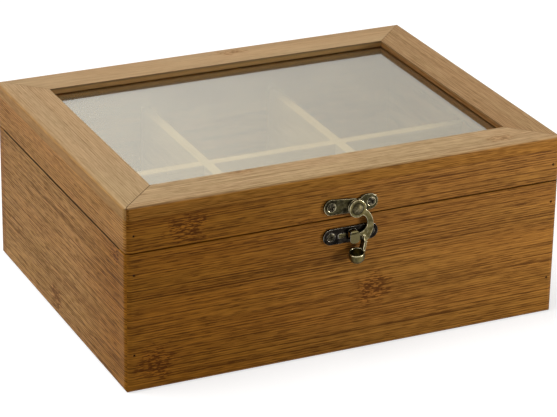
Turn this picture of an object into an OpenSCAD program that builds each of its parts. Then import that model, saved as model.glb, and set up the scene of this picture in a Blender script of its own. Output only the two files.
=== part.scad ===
// Hinged bamboo tea box: six compartments, a framed window in the lid and a swing latch.
// X runs along the front, Y from front to back, Z up. The origin is the centre of the underside.

/* [Box] */
// Width of the box along its front
box_w = 220; // [200:1:240]
// Depth of the box from front to back
box_d = 168; // [150:1:190]
// Height of the joint line between the body and the lid
seam_z = 68.5; // [60:0.5:85]
// Height of the lid above the joint line
lid_h = 22.5; // [21:0.5:30]
// Thickness of the body and lid boards
board_t = 8; // [7:0.5:10]
// Radius of the upright outer corners
corner_r = 3; // [1:0.5:5]
// Radius of the top and bottom outer edges
edge_r = 2; // [1:0.5:3]
// Gap between the closed lid and the body
seam_gap = 0.6; // [0.4:0.1:0.8]
// Bevel on the outer edges beside that gap
seam_bevel = 0.2; // [0.1:0.1:1]

/* [Base and dividers] */
// Thickness of the base panel
base_t = 4; // [3:0.5:6]
// Width of the rebate in each board that the base panel lies in
base_lap = 4; // [3:0.5:5]
// Thickness of the dividers
divider_t = 5; // [3:0.5:6]
// Distance from the rim of the body down to the dividers
divider_drop = 1; // [0.5:0.5:6]
// Depth of the grooves in the boards that hold the dividers' ends
groove_depth = 2; // [1:0.5:3]
// Clearance on each side of a divider or of the base panel
wood_fit = 0.1; // [0.05:0.05:0.2]

/* [Lid frame and window] */
// Width of the top frame's members
frame_w = 20; // [16:1:26]
// Thickness of the top frame's members
frame_t = 6.5; // [6:0.5:8]
// Depth of the window below the top of the frame
window_depth = 3; // [2:0.5:3]
// Thickness of the window
window_t = 1.5; // [1:0.5:2]
// How far the window reaches into the frame's groove
window_bite = 5; // [3:0.5:7]
// Clearance of the window in its groove
window_fit = 0.6; // [0.3:0.1:0.8]
// Glue line at each mitre of the top frame
mitre_gap = 0.1; // [0.05:0.05:0.2]

/* [Nails] */
// Radius of the nails through the front and back boards
nail_r = 0.6; // [0.5:0.05:0.8]
// Length of the nails
nail_len = 18; // [14:1:22]
// Depth of the nail heads below the surface
nail_set = 0.6; // [0.3:0.1:1]
// Height of the lower nails of the body
nail_low = 18.5; // [12:0.5:25]
// Distance of the upper nails of the body below the joint line
nail_high = 10.5; // [6:0.5:16]
// Height of the lid's nails above the joint line
nail_lid = 8.5; // [5:0.5:11]

/* [Latch plates and screws] */
// Thickness of the latch and catch plates
plate_t = 1.2; // [0.9:0.1:1.4]
// Distance between the two screws of a plate
plate_pitch = 20; // [18:0.5:24]
// Radius of the round ends of the plates
plate_end_r = 3.8; // [3.4:0.1:4]
// Height of the latch plate's screws above the joint line
latch_screw_v = 6.3; // [5.6:0.1:7]
// Distance of the catch plate's screws below the joint line
catch_screw_v = 8.4; // [7.8:0.1:9]
// Radius of the latch screws' heads
latch_head_r = 2; // [1.8:0.1:2.4]
// Radius of all the wood screws' shanks
shank_r = 1; // [0.8:0.1:1.2]
// Length of all the wood screws in the wood
shank_len = 6; // [4:0.5:6.5]
// Height of the domes on the screw heads
head_dome = 0.3; // [0.1:0.05:0.4]
// Clearance round the screws, in the plates and in the wood
screw_fit = 0.05; // [0.03:0.01:0.1]

/* [Latch hook] */
// Distance of the pivot to the right of the middle of the box
pivot_u = 2.4; // [1:0.1:3.5]
// Height of the pivot above the joint line
pivot_v = 4.5; // [4.4:0.1:5]
// Radius of the raised boss round the pivot
boss_r = 4; // [3.6:0.1:4.1]
// Height of that boss above the latch plate
boss_rise = 0.6; // [0.5:0.1:0.9]
// Radius of the hook's round hub
hub_r = 4.3; // [4:0.1:4.6]
// Thickness of the hook
hook_t = 1.2; // [1:0.1:1.3]
// Play between the hook and the pieces on both sides of it
hook_play = 0.1; // [0.05:0.05:0.15]
// Radius of the rivet that the hook turns on
rivet_r = 1.6; // [1.3:0.1:1.8]
// Radial clearance between the rivet and the hook
rivet_fit = 0.06; // [0.03:0.01:0.1]
// Radius of the rivet's head
rivet_head_r = 2.5; // [2.2:0.1:3.6]
// Height of the rivet's head
rivet_head_h = 0.8; // [0.6:0.1:1.2]
// Distance from the pivot down to the middle of the finger cup
hook_drop = 22.3; // [22:0.1:22.6]
// Inner radius of the hook's mouth
mouth_r = 4.6; // [4.4:0.1:4.8]
// Outer radius of the hook's back
back_r = 10.6; // [10.2:0.1:11]
// Half the width of the hook's arm at its lower end
arm_r = 2.2; // [1.9:0.1:2.4]
// Radius of the tip of the hook's nose
nose_r = 0.6; // [0.5:0.1:0.7]
// Thickness of the neck between the arm and the finger cup
neck_t = 1.3; // [1.1:0.1:1.5]
// How far the neck stands out in front of the arm
neck_rise = 2.8; // [2.4:0.1:3.2]
// Outer radius of the hook's finger cup
cup_r = 3.8; // [3.6:0.1:4]
// Thickness of the finger cup's wall
cup_wall = 0.7; // [0.6:0.1:0.9]
// Height of the cup's rim above the middle of its round bottom
cup_rim = 2.1; // [1.8:0.1:2.4]

/* [Catch] */
// Width of the catch's tongue
tongue_w = 5; // [4.6:0.1:6]
// Thickness of the tongue
tongue_t = 1; // [0.8:0.1:1.2]
// Distance of the tongue's top below the joint line
tongue_top = 5.8; // [5.7:0.1:6]
// Length of the tongue's lip
tongue_drop = 6; // [5:0.1:6.5]
// Space between the hook and the tongue's lip
tongue_gap = 0.4; // [0.3:0.05:0.6]

/* [Hinges] */
// Distance of each hinge from the middle of the box
hinge_x = 62; // [40:1:80]
// Width of the hinge leaves
leaf_w = 26; // [22:1:34]
// Height of the hinge leaves from the pin's axis
leaf_h = 11; // [10:0.5:14]
// Thickness of the hinge leaves and of the knuckles' wall
leaf_t = 1; // [0.8:0.1:1.2]
// Radius of the hinge pin
pin_r = 1; // [0.8:0.1:1.3]
// Radial clearance between the pin and the knuckles
pin_fit = 0.05; // [0.02:0.01:0.1]
// Clearance between the knuckles and beside the wood
knuckle_fit = 0.3; // [0.3:0.05:0.5]
// Distance between the two screws of a leaf
leaf_pitch = 14; // [12:0.5:16]
// Radius of the hinge screws' heads
leaf_head_r = 1.9; // [1.7:0.1:2.1]

/* [Hidden] */
$fn = 96;
eps = 0.01;
box_h = seam_z + lid_h;
rim_z = seam_z - seam_gap / 2;
lid_z = seam_z + seam_gap / 2;
frame_z = box_h - frame_t;
inner_w = box_w - 2 * board_t;
inner_d = box_d - 2 * board_t;
column_w = (inner_w - 2 * divider_t) / 3;
cross_x = (column_w + divider_t) / 2;
divider_top = rim_z - divider_drop;
lap_z = (base_t + divider_top) / 2;
window_top = box_h - window_depth - window_fit;
nail_x = box_w / 2 - board_t / 2;
hook_back = plate_t + boss_rise + hook_play;
hook_front = hook_back + hook_t;
lip_back = hook_front + tongue_gap;
lip_front = lip_back + tongue_t;
pivot = [pivot_u, pivot_v];
tongue_u = pivot_u - 1.7;
mouth_at = pivot + hook_drop * [0.022, -0.341];
back_at = pivot + hook_drop * [-0.108, -0.404];
nose_at = pivot + hook_drop * [0.063, -0.57];
arm_end = pivot + hook_drop * [0.206, -0.623];
neck_top = pivot + hook_drop * [0.152, -0.641];
neck_mid = pivot + hook_drop * [0.128, -0.789];
neck_end = pivot + hook_drop * [0.099, -0.91];
cup_at = [pivot_u - hook_drop * 0.043, pivot_v - hook_drop, hook_back + cup_r * 0.82];
cup_lean = [0, 80, 98];
barrel_r = pin_r + pin_fit + leaf_t;
axis_out = barrel_r + knuckle_fit;
knuckles = 5;
knuckle_len = (leaf_w - (knuckles - 1) * knuckle_fit) / knuckles;
leaf_screw_v = leaf_h * 0.6;
bronze = "darkolivegreen";
dark_bronze = "darkslategray";

// Rectangle from one corner to the opposite one.
module span(low, high) {
    translate(low) cube(high - low);
}

// Centred rectangle with round corners, made of arcs.
module round_rect(w, h, r) {
    square([w - 2 * r, h], center = true);
    square([w, h - 2 * r], center = true);
    for (i = [-1, 1], j = [-1, 1]) translate([i * (w / 2 - r), j * (h / 2 - r)]) circle(r);
}

// Notch that bevels both sides of the joint line on one upright side of the box.
module seam_notch(half) {
    rise = seam_gap / 2 + seam_bevel;
    for (i = [-1, 1]) polygon([
        [i * (half + eps), seam_z - rise - eps],
        [i * (half - seam_bevel), seam_z - seam_gap / 2],
        [i * (half - seam_bevel), seam_z + seam_gap / 2],
        [i * (half + eps), seam_z + rise + eps],
    ]);
}

// Side view of the whole box: round edges above and below, bevels at the joint line.
module side_profile(width) {
    difference() {
        translate([0, box_h / 2]) round_rect(width, box_h, edge_r);
        seam_notch(width / 2);
    }
}

// Outer form of the closed box, which rounds and bevels every board that is cut from it.
module outer_form() {
    intersection() {
        linear_extrude(box_h) round_rect(box_w, box_d, corner_r);
        rotate([90, 0, 0]) linear_extrude(box_d, center = true) side_profile(box_w);
        rotate([90, 0, 90]) linear_extrude(box_w, center = true) side_profile(box_d);
    }
}

// Front or back board between two heights: side is -1 for the front and 1 for the back.
module long_board(side, low, high) {
    intersection() {
        outer_form();
        translate([0, side * (box_d - board_t) / 2, (low + high) / 2])
            cube([box_w + 1, board_t, high - low], center = true);
    }
}

// Left or right board, which fits between the long boards.
module short_board(side, low, high) {
    intersection() {
        outer_form();
        translate([side * (box_w - board_t) / 2, 0, (low + high) / 2])
            cube([board_t, inner_d, high - low], center = true);
    }
}

// Space of the base panel, or of its rebate with a clearance.
module base_block(fit) {
    w = inner_w + 2 * base_lap - 2 * wood_fit + 2 * fit;
    d = inner_d + 2 * base_lap - 2 * wood_fit + 2 * fit;
    span([-w / 2, -d / 2, fit > 0 ? -1 : 0], [w / 2, d / 2, base_t]);
}

// Space of the long divider, or of its grooves with a clearance.
module long_divider_block(fit, top) {
    w = inner_w + 2 * groove_depth - 2 * wood_fit + 2 * fit;
    span([-w / 2, -divider_t / 2 - fit, base_t], [w / 2, divider_t / 2 + fit, top]);
}

// Space of a cross divider, or of its grooves with a clearance.
module cross_divider_block(side, fit, top) {
    d = inner_d + 2 * groove_depth - 2 * wood_fit + 2 * fit;
    x = side * cross_x;
    span([x - divider_t / 2 - fit, -d / 2, base_t], [x + divider_t / 2 + fit, d / 2, top]);
}

// Places a child on the front face: its x stays, its y points up from the joint line, its z points out.
module on_front() {
    translate([0, -box_d / 2, seam_z]) rotate([90, 0, 0]) children();
}

// Places a child on the back face at one hinge, with its y up and its z out.
module on_back(side) {
    translate([side * hinge_x, box_d / 2, seam_z]) rotate([90, 0, 180]) children();
}

// One nail driven inwards from the front or the back face, or its hole when open is true.
module nail(side_x, side_y, z, open) {
    out = open ? 1 : -nail_set;
    translate([side_x * nail_x, side_y * (box_d / 2 + out), z])
        rotate([side_y * 90, 0, 0]) cylinder(r = nail_r, h = nail_len + nail_set + out);
}

module body_nail_set(open) {
    for (i = [-1, 1], j = [-1, 1], z = [nail_low, seam_z - nail_high]) nail(i, j, z, open);
}

module lid_nail_set(open) {
    for (i = [-1, 1], j = [-1, 1]) nail(i, j, seam_z + nail_lid, open);
}

// Wood screw with its countersunk head in a plate of the given thickness, pointing down from z = 0.
module wood_screw(head_r, plate) {
    dome_r = (head_r * head_r + head_dome * head_dome) / (2 * head_dome);
    slot = head_r * 0.3;
    difference() {
        union() {
            translate([0, 0, -shank_len + shank_r]) cylinder(r = shank_r, h = shank_len - shank_r + eps);
            translate([0, 0, -shank_len]) cylinder(r1 = shank_r / 4, r2 = shank_r, h = shank_r);
            cylinder(r1 = shank_r, r2 = head_r, h = plate);
            intersection() {
                translate([0, 0, plate + head_dome - dome_r]) sphere(dome_r);
                translate([0, 0, plate - eps]) cylinder(r = head_r, h = head_dome + 1);
            }
        }
        for (turn = [20, 110]) translate([0, 0, plate - plate * 0.4]) rotate([0, 0, turn])
            translate([-head_r * 0.6, -slot / 2, 0]) cube([head_r * 1.2, slot, plate + head_dome]);
    }
}

// Hole for that screw, through the plate and into the wood.
module screw_hole(head_r, plate) {
    translate([0, 0, -shank_len - screw_fit]) cylinder(r = shank_r + screw_fit, h = shank_len + plate);
    cylinder(r1 = shank_r + screw_fit, r2 = head_r + screw_fit, h = plate + eps);
}

module latch_screw_spots() {
    for (i = [-1, 1]) translate([i * plate_pitch / 2, latch_screw_v, 0]) children();
}

module catch_screw_spots() {
    for (i = [-1, 1]) translate([i * plate_pitch / 2, -catch_screw_v, 0]) children();
}

// Screw places of one hinge leaf: up is 1 on the lid and -1 on the body.
module leaf_screw_spots(up) {
    for (i = [-1, 1]) translate([i * leaf_pitch / 2, up * leaf_screw_v, 0]) children();
}

// Everything that is cut out of the four boards of the body.
module body_cuts() {
    base_block(wood_fit);
    long_divider_block(wood_fit, seam_z + 1);
    for (i = [-1, 1]) cross_divider_block(i, wood_fit, seam_z + 1);
    body_nail_set(true);
}

module front_board() color("peru") difference() {
    long_board(-1, 0, rim_z);
    body_cuts();
    on_front() catch_screw_spots() screw_hole(latch_head_r, plate_t);
}

module back_board() color("peru") difference() {
    long_board(1, 0, rim_z);
    body_cuts();
    for (i = [-1, 1]) on_back(i) leaf_screw_spots(-1) screw_hole(leaf_head_r, leaf_t);
}

module side_board(side) color("burlywood") difference() {
    short_board(side, 0, rim_z);
    body_cuts();
}

module base_panel() color("tan") base_block(0);

module long_divider() color("wheat") difference() {
    long_divider_block(0, divider_top);
    for (i = [-1, 1]) translate([i * cross_x, 0, lap_z + seam_z / 2])
        cube([divider_t + 2 * wood_fit, divider_t + 1, seam_z], center = true);
}

module cross_divider(side) color("wheat") difference() {
    cross_divider_block(side, 0, divider_top);
    translate([side * cross_x, 0, lap_z - seam_z / 2])
        cube([divider_t + 1, divider_t + 2 * wood_fit, seam_z], center = true);
}

module body_nails() color("dimgray") body_nail_set(false);

module lid_nails() color("dimgray") lid_nail_set(false);

module lid_long_rail(side) color("peru") difference() {
    long_board(side, lid_z, frame_z);
    lid_nail_set(true);
    if (side < 0) on_front() latch_screw_spots() screw_hole(latch_head_r, plate_t);
    if (side > 0) for (i = [-1, 1]) on_back(i) leaf_screw_spots(1) screw_hole(leaf_head_r, leaf_t);
}

module lid_short_rail(side) color("burlywood") difference() {
    short_board(side, lid_z, frame_z);
    lid_nail_set(true);
}

// Window pane, or its groove in the frame with a clearance.
module window_block(fit) {
    w = box_w - 2 * frame_w + 2 * window_bite + 4 * fit;
    d = box_d - 2 * frame_w + 2 * window_bite + 4 * fit;
    span([-w / 2, -d / 2, window_top - window_t], [w / 2, d / 2, window_top + fit]);
}

// One mitred member of the top frame, drawn for the front or back edge of a w by d frame.
module frame_member(w, d, side) {
    g = mitre_gap / sqrt(2);
    y = side * d / 2;
    inner_y = y - side * frame_w;
    linear_extrude(frame_t) polygon([
        [-w / 2 + g, y], [w / 2 - g, y], [w / 2 - frame_w - g, inner_y], [-w / 2 + frame_w + g, inner_y],
    ]);
}

module top_frame(long, side) color("burlywood") difference() {
    intersection() {
        outer_form();
        translate([0, 0, frame_z]) {
            if (long) frame_member(box_w, box_d, side);
            else rotate([0, 0, -90]) frame_member(box_d, box_w, side);
        }
    }
    window_block(window_fit);
}

module window_pane() color("lightgray", 0.6) window_block(0);

// Outline of the latch plate: a round end, a web, the boss under the hook and a leaf-shaped end.
module latch_outline() {
    u = plate_pitch / 2;
    r = plate_end_r;
    leaf_u = u - r * 0.62;
    translate([-u, latch_screw_v]) circle(r);
    polygon([
        [-u, latch_screw_v + r], [pivot_u, latch_screw_v + r * 0.7],
        [pivot_u, latch_screw_v - r], [-u, latch_screw_v - r],
    ]);
    translate(pivot) circle(boss_r);
    for (x = [leaf_u, leaf_u + r / 2]) translate([x, latch_screw_v]) circle(r);
    translate([leaf_u, latch_screw_v - r]) square([r / 2, 2 * r]);
    polygon([
        pivot, [leaf_u, latch_screw_v - r * 0.84],
        [leaf_u, latch_screw_v + r * 0.9], pivot + boss_r * [0.22, 0.95],
    ]);
}

module latch_plate() color(bronze) on_front() difference() {
    union() {
        linear_extrude(plate_t) latch_outline();
        translate([pivot_u, pivot_v, 0]) cylinder(r = boss_r, h = plate_t + boss_rise);
    }
    latch_screw_spots() screw_hole(latch_head_r, plate_t);
    translate([pivot_u, pivot_v, -plate_t]) cylinder(r = rivet_r, h = 2 * hook_front);
}

module latch_screws() color(dark_bronze) on_front() latch_screw_spots() wood_screw(latch_head_r, plate_t);

module catch_screws() color(dark_bronze) on_front() catch_screw_spots() wood_screw(latch_head_r, plate_t);

// The rivet's shank fills the plate and its domed head holds the hook.
module latch_rivet() {
    dome_r = (rivet_head_r * rivet_head_r + rivet_head_h * rivet_head_h) / (2 * rivet_head_h);
    head_z = hook_front + hook_play;
    color(bronze) on_front() translate([pivot_u, pivot_v, 0]) {
        cylinder(r = rivet_r, h = head_z + eps);
        intersection() {
            translate([0, 0, head_z + rivet_head_h - dome_r]) sphere(dome_r);
            translate([0, 0, head_z]) cylinder(r = rivet_head_r + 1, h = rivet_head_h + 1);
        }
    }
}

// Band with round ends between two points, wider at one end than at the other.
module taper_band(a, ra, b, rb) {
    run = norm(b - a);
    turn = atan2(b[1] - a[1], b[0] - a[0]);
    lean = asin((ra - rb) / run);
    function rim(c, r, angle) = c + r * [cos(angle), sin(angle)];
    translate(a) circle(ra);
    translate(b) circle(rb);
    polygon([
        rim(a, ra, turn + 90 - lean), rim(b, rb, turn + 90 - lean),
        rim(b, rb, turn - 90 + lean), rim(a, ra, turn - 90 + lean),
    ]);
}

// Outline of the hook's sheet: hub, curved back, nose under the mouth and arm down into the neck.
module hook_outline() {
    translate(pivot) circle(hub_r);
    difference() {
        intersection() {
            translate(back_at) circle(back_r);
            polygon([
                pivot + [0, hub_r / 5], pivot + [back_r * 1.2, hub_r / 5],
                arm_end + [back_r * 0.75, -arm_r * 0.7], arm_end - arm_r * [0.5, 0.7],
                nose_at - [0, nose_r * 0.8], nose_at + [0, nose_r * 3], mouth_at,
            ]);
        }
        translate(mouth_at) circle(mouth_r);
    }
    translate(nose_at + [0, nose_r / 6]) circle(nose_r);
    taper_band(arm_end, arm_r, neck_mid, neck_t / 3);
}

// Neck: the sheet turned sideways, which stands out from the arm and runs into the cup.
module hook_neck() {
    low = cup_at[1];
    high = neck_top[1];
    full = hook_front + neck_rise;
    intersection() {
        linear_extrude(2 * full) taper_band(neck_top, neck_t / 2, neck_end, neck_t / 2);
        rotate([90, 0, 90]) linear_extrude(2 * pivot_u + 2 * back_r, center = true) polygon([
            [low, hook_back], [high + neck_t, hook_back], [high + neck_t, hook_front],
            [high + neck_t / 2, hook_front + neck_rise * 0.2], [high - neck_t / 2, full - neck_rise * 0.2],
            [high - neck_t, full], [low, full],
        ]);
    }
}

// Round-bottomed cup of one radius, closed below, that reaches up to a height above its middle.
module cup_form(r, top) {
    difference() {
        union() {
            sphere(r);
            cylinder(r = r * 0.985, h = top);
        }
        translate([-2 * r, -2 * r, top]) cube(4 * r);
    }
}

module latch_hook() color(bronze) on_front() difference() {
    union() {
        translate([0, 0, hook_back]) linear_extrude(hook_t) hook_outline();
        hook_neck();
        translate(cup_at) rotate(cup_lean) cup_form(cup_r, cup_rim);
    }
    translate(cup_at) rotate(cup_lean) cup_form(cup_r - cup_wall, cup_rim + cup_wall);
    translate([pivot_u, pivot_v, 0]) cylinder(r = rivet_r + rivet_fit, h = lip_front);
}

// Tongue of the catch seen from the side: a shelf above the hook's nose and a lip in front of it.
module tongue_side() {
    bend = tongue_t * 2;
    difference() {
        union() {
            translate([-tongue_top - tongue_drop, 0]) square([tongue_drop, lip_front - bend]);
            translate([-tongue_top - tongue_drop, 0]) square([tongue_drop - bend, lip_front]);
            translate([-tongue_top - bend, lip_front - bend]) circle(bend);
        }
        translate([-tongue_top - tongue_drop - 1, -1]) square([tongue_drop + 1 - tongue_t, lip_back + 1]);
    }
}

module catch_tongue() {
    intersection() {
        translate([tongue_u - tongue_w / 2, 0, 0]) rotate([90, 0, 90]) linear_extrude(tongue_w) tongue_side();
        translate([tongue_u, -tongue_top - tongue_drop / 2, 0])
            linear_extrude(2 * lip_front) round_rect(tongue_w, tongue_drop, tongue_w * 0.42);
    }
}

module catch_plate() color(dark_bronze) on_front() difference() {
    union() {
        linear_extrude(plate_t) {
            catch_screw_spots() circle(plate_end_r);
            translate([0, -catch_screw_v]) square([plate_pitch, 2 * plate_end_r], center = true);
        }
        catch_tongue();
        catch_dimple();
    }
    catch_screw_spots() screw_hole(latch_head_r, plate_t);
    translate([tongue_u, -tongue_top - tongue_t - tongue_drop * 0.3, 0])
        cube([tongue_w - tongue_t, tongue_drop * 0.6, 3 * plate_t], center = true);
}

// Pressed rib on the catch plate between its left screw and the tongue.
module catch_dimple() {
    rib_r = plate_end_r * 0.34;
    rib_len = plate_end_r * 0.55;
    intersection() {
        translate([-plate_pitch * 0.21, -catch_screw_v, plate_t - rib_r * 0.35]) {
            rotate([0, 90, 0]) cylinder(r = rib_r, h = rib_len, center = true);
            for (i = [-1, 1]) translate([i * rib_len / 2, 0, 0]) sphere(rib_r);
        }
        translate([-plate_pitch, -catch_screw_v - plate_end_r, plate_t / 2])
            cube([plate_pitch, 2 * plate_end_r, plate_end_r]);
    }
}

// Hinge leaf on the back face: up is 1 on the lid and -1 on the body, which has the outer knuckles.
module hinge_leaf(up) {
    step = knuckle_len + knuckle_fit;
    own = up > 0 ? [1, 3] : [0, 2, 4];
    other = up > 0 ? [0, 2, 4] : [1, 3];
    difference() {
        union() {
            difference() {
                linear_extrude(leaf_t) intersection() {
                    translate([0, 0]) round_rect(leaf_w, 2 * leaf_h, 1.5);
                    translate([-leaf_w, up > 0 ? seam_gap / 2 : -seam_gap / 2 - 2 * leaf_h])
                        square([2 * leaf_w, 2 * leaf_h]);
                }
                for (k = other) knuckle(k * step - knuckle_fit, knuckle_len + 2 * knuckle_fit, axis_out);
            }
            for (k = own) knuckle(k * step, knuckle_len, barrel_r);
        }
        knuckle(-1, leaf_w + 2, pin_r + pin_fit);
        leaf_screw_spots(up) screw_hole(leaf_head_r, leaf_t);
    }
}

// Cylinder round the pin's axis, from a distance along the leaf's left end.
module knuckle(start, length, r) {
    translate([start - leaf_w / 2, 0, axis_out]) rotate([0, 90, 0]) cylinder(r = r, h = length);
}

module hinge_body_leaf(side) color(bronze) on_back(side) hinge_leaf(-1);

module hinge_lid_leaf(side) color(bronze) on_back(side) hinge_leaf(1);

module hinge_pin(side) color(dark_bronze) on_back(side) knuckle(0, leaf_w, pin_r);

module hinge_screws(up) color(dark_bronze)
    for (i = [-1, 1]) on_back(i) leaf_screw_spots(up) wood_screw(leaf_head_r, leaf_t);

base_panel();
front_board();
back_board();
side_board(-1);  // left_board
side_board(1);  // right_board
body_nails();
long_divider();
cross_divider(-1);  // left_cross_divider
cross_divider(1);  // right_cross_divider
catch_plate();
catch_screws();
hinge_body_leaf(-1);  // left_hinge_body_leaf
hinge_body_leaf(1);  // right_hinge_body_leaf
hinge_pin(-1);  // left_hinge_pin
hinge_pin(1);  // right_hinge_pin
hinge_screws(-1);  // hinge_body_screws
lid_long_rail(-1);  // lid_front_rail
lid_long_rail(1);  // lid_back_rail
lid_short_rail(-1);  // lid_left_rail
lid_short_rail(1);  // lid_right_rail
lid_nails();
top_frame(true, -1);  // top_frame_front
top_frame(true, 1);  // top_frame_back
top_frame(false, -1);  // top_frame_left
top_frame(false, 1);  // top_frame_right
window_pane();
hinge_lid_leaf(-1);  // left_hinge_lid_leaf
hinge_lid_leaf(1);  // right_hinge_lid_leaf
hinge_screws(1);  // hinge_lid_screws
latch_plate();
latch_screws();
latch_rivet();
latch_hook();
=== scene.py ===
import bmesh
import bpy
import numpy as np
from mathutils import Matrix, Vector


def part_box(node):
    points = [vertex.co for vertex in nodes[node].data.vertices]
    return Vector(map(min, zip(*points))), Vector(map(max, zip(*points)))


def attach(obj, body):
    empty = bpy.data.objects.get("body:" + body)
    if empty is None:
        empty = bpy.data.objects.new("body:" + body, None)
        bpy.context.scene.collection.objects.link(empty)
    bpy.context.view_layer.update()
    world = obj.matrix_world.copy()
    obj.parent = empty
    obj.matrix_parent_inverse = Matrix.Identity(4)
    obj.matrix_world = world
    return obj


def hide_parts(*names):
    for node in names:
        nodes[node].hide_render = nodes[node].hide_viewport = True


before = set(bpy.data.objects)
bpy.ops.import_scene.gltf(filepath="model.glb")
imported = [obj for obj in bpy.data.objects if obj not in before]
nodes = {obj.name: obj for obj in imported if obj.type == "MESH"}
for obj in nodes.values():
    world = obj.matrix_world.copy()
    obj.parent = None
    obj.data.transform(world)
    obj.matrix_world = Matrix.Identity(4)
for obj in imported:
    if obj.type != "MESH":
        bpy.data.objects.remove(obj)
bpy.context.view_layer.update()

# Camera: in front of the box and to its left, looking a little down on it,
# so that the lid with its window, the front with its latch and the left side all show.
CAMERA_AT = (-0.49942, -1.06556, 0.55373)
CAMERA_LOOK = Vector((0.39102, 0.82841, -0.40105)).normalized()
CAMERA_RIGHT = Vector((0.90716, -0.42048, 0.01594))
CAMERA_LENS = 170.93
FILM_WIDTH = 36

camera = bpy.data.objects.new("camera", bpy.data.cameras.new("camera"))
camera.data.lens = CAMERA_LENS
camera.data.sensor_width = FILM_WIDTH
camera_up = CAMERA_RIGHT.cross(CAMERA_LOOK).normalized()
camera_right = CAMERA_LOOK.cross(camera_up)
turned = Matrix((camera_right, camera_up, -CAMERA_LOOK)).transposed()
camera.matrix_world = Matrix.Translation(CAMERA_AT) @ turned.to_4x4()
bpy.context.scene.collection.objects.link(camera)
bpy.context.scene.camera = camera
bpy.context.scene.view_settings.view_transform = "Standard"


# Studio: a white table and a white backdrop behind it, with a dim room on the camera's side.
# Glossy pieces also mirror a bright ceiling and a bright far wall, which gives the window its milky glare.
# A broad soft lamp hangs over the back left, and a small one stands low at the front right.
TABLE_COLOUR = (0.44, 0.433, 0.426, 1)
TABLE_GLOW = 0.42
TABLE_SEEN = 0.26
TABLE_HALF = 6.0
BACKDROP_TOWARDS = Vector((-0.55, 0.65, 0.52)).normalized()
BACKDROP_EDGE = (-0.25, 0.55)
ROOM_DIM = 0.1
ROOM_BRIGHT = 0.8
CEILING_EDGE = (0.6, 0.85)
CEILING = 2.1
FAR_WALL_EDGE = (0.55, 0.75)
FAR_WALL = 1.18
RIGHT_SIDE_EDGE = (0.32, 0.46)
RIGHT_SIDE_LEVEL = 0.66
SKY_LEVEL = 0.36
PLAIN_WHITE = (1, 1, 1, 1)
WARM_WHITE = (1, 0.987, 0.93, 1)
KEY_FROM = Vector((-0.33, 0.12, 0.94)).normalized()
KEY_LEVEL = 2.7
KEY_ANGLE = 0.7
FILL_AT = Vector((0.25, -0.33, 0.09))
FILL_TOWARDS = Vector((0.06, -0.08, 0.05))
FILL_POWER = 0.5
FILL_WIDTH = 0.12


def put(tree, kind, inputs=None, **settings):
    """Adds one shader node. The settings are its own options, and the inputs are its sockets' values, or the
    sockets that feed them."""
    node = tree.nodes.new("ShaderNode" + kind)
    for name, value in settings.items():
        setattr(node, name, value)
    for key, value in (inputs or {}).items():
        if isinstance(value, bpy.types.NodeSocket):
            tree.links.new(value, node.inputs[key])
        else:
            node.inputs[key].default_value = value
    return node


def maths(tree, how, *values):
    """One sum on up to three values, such as the larger of two, or one value without its sign."""
    return put(tree, "Math", dict(enumerate(values)), operation=how).outputs[0]


def vector_maths(tree, how, *values):
    """One sum on one or two vectors. A dot product and a length come out as a value, all else as a vector."""
    out = "Value" if how in ("DOT_PRODUCT", "LENGTH") else "Vector"
    return put(tree, "VectorMath", dict(enumerate(values)), operation=how).outputs[out]


def times(tree, a, b):
    """Product of two values."""
    return maths(tree, "MULTIPLY", a, b)


def plus(tree, a, b):
    """Sum of two values."""
    return maths(tree, "ADD", a, b)


def ramp(tree, value, low, high, least=0.0, most=1.0):
    """Goes from least to most as the value goes from low to high, and holds at the ends. In between it is a
    smooth step of the way: three times its square less twice its cube."""
    inputs = {0: value, 1: low, 2: high, 3: least, 4: most}
    return put(tree, "MapRange", inputs, interpolation_type="SMOOTHSTEP").outputs[0]


def blend_colour(tree, share, first, second, how="MIX"):
    """Mixes two colours, or multiplies the first by the second, by a share of 0 to 1."""
    return put(tree, "Mix", {0: share, 6: first, 7: second}, data_type="RGBA", blend_type=how).outputs[2]


def seen_directly(tree):
    """Sorts the rays of light. Clear is 1 for a ray from the camera or through the window, and direct is 1
    for these and for a ray off a mirror-like surface. Both are 0 for light that scatters."""
    path = put(tree, "LightPath").outputs
    clear = maths(tree, "MAXIMUM", path["Is Camera Ray"], path["Is Transmission Ray"])
    return path, clear, maths(tree, "MAXIMUM", clear, path["Is Glossy Ray"])


world = bpy.data.worlds.new("studio")
bpy.context.scene.world = world
world.use_nodes = True
sky = world.node_tree
sky.nodes.clear()
path, clear, direct = seen_directly(sky)
direction = put(sky, "TexCoord").outputs["Generated"]
sides = put(sky, "SeparateXYZ", {0: direction}).outputs
facing = vector_maths(sky, "DOT_PRODUCT", direction, BACKDROP_TOWARDS)
room = ramp(sky, facing, *BACKDROP_EDGE, ROOM_DIM, ROOM_BRIGHT)
overhead = ramp(sky, sides["Z"], *CEILING_EDGE, 0.0, CEILING)
beyond = ramp(sky, sides["Y"], *FAR_WALL_EDGE, 0.0, FAR_WALL)
beyond = times(sky, beyond, ramp(sky, sides["X"], *RIGHT_SIDE_EDGE, 1.0, RIGHT_SIDE_LEVEL))
mirrored = maths(sky, "MAXIMUM", room, maths(sky, "MAXIMUM", beyond, overhead))
scattered = times(sky, room, SKY_LEVEL)
reflected = put(sky, "Mix", {0: direct, 2: scattered, 3: mirrored}).outputs[0]
shown = put(sky, "Mix", {0: clear, 2: reflected, 3: 1.0}).outputs[0]
tint = blend_colour(sky, path["Is Glossy Ray"], PLAIN_WHITE, WARM_WHITE)
backdrop = put(sky, "Background", {"Color": tint, "Strength": shown})
put(sky, "OutputWorld", {"Surface": backdrop.outputs[0]})

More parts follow.
